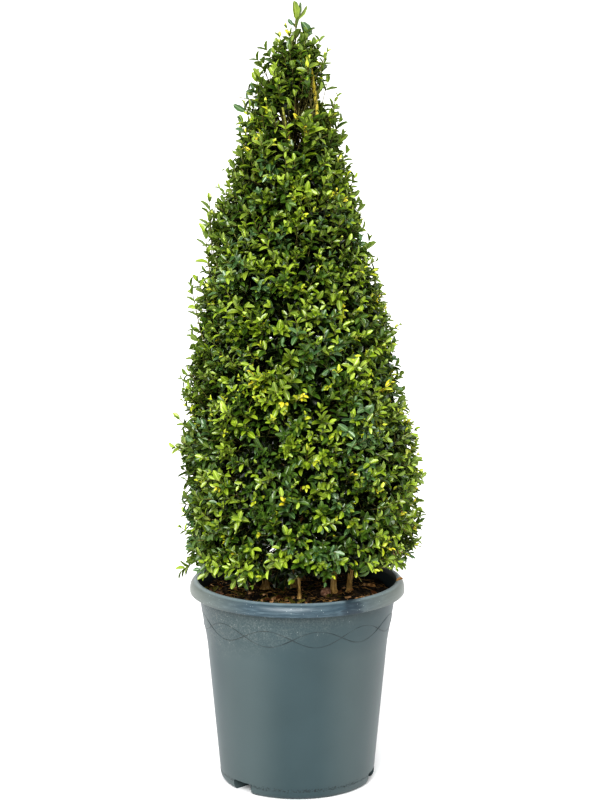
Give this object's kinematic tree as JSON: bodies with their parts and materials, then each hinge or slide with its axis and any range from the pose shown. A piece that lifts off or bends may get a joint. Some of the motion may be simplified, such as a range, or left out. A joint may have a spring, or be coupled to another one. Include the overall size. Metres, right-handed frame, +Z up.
{
  "type": "potted boxwood cone topiary",
  "caption": "Evergreen box shrub clipped to a slim cone, on a clump of bare woody stems, in a round tapered nursery pot with a rolled rim.",
  "frame": {"origin": "centre of the pot's flat underside, where the plant stands on the floor", "axes": "+Z up along the plant, -Y is the front, +X to the right as seen from the front"},
  "size_m": [0.3786, 0.3736, 1.1161],
  "materials": {
    "pot_plastic": "moulded grey-blue polypropylene, semi-matt, dusty and scuffed",
    "potting_soil": "moist dark brown compost with bark chips, fibres and moss",
    "bark": "thin, ridged, yellowish tan bark",
    "foliage": "small glossy dark green leaves with lime young tips"
  },
  "bodies": {
    "root": {"pot": "pot_plastic", "potting_soil": "potting_soil", "main_stem": "bark", "right_stem": "bark", "left_stem": "bark", "back_stem": "bark", "front_stem": "bark", "front_right_stem": "bark", "skirt_foliage": "foliage", "lower_foliage": "foliage", "middle_foliage": "foliage", "upper_foliage": "foliage", "leader_spray": "foliage", "right_spray": "foliage", "left_spray": "foliage", "back_spray": "foliage", "front_spray": "foliage"}
  },
  "joints": []
}
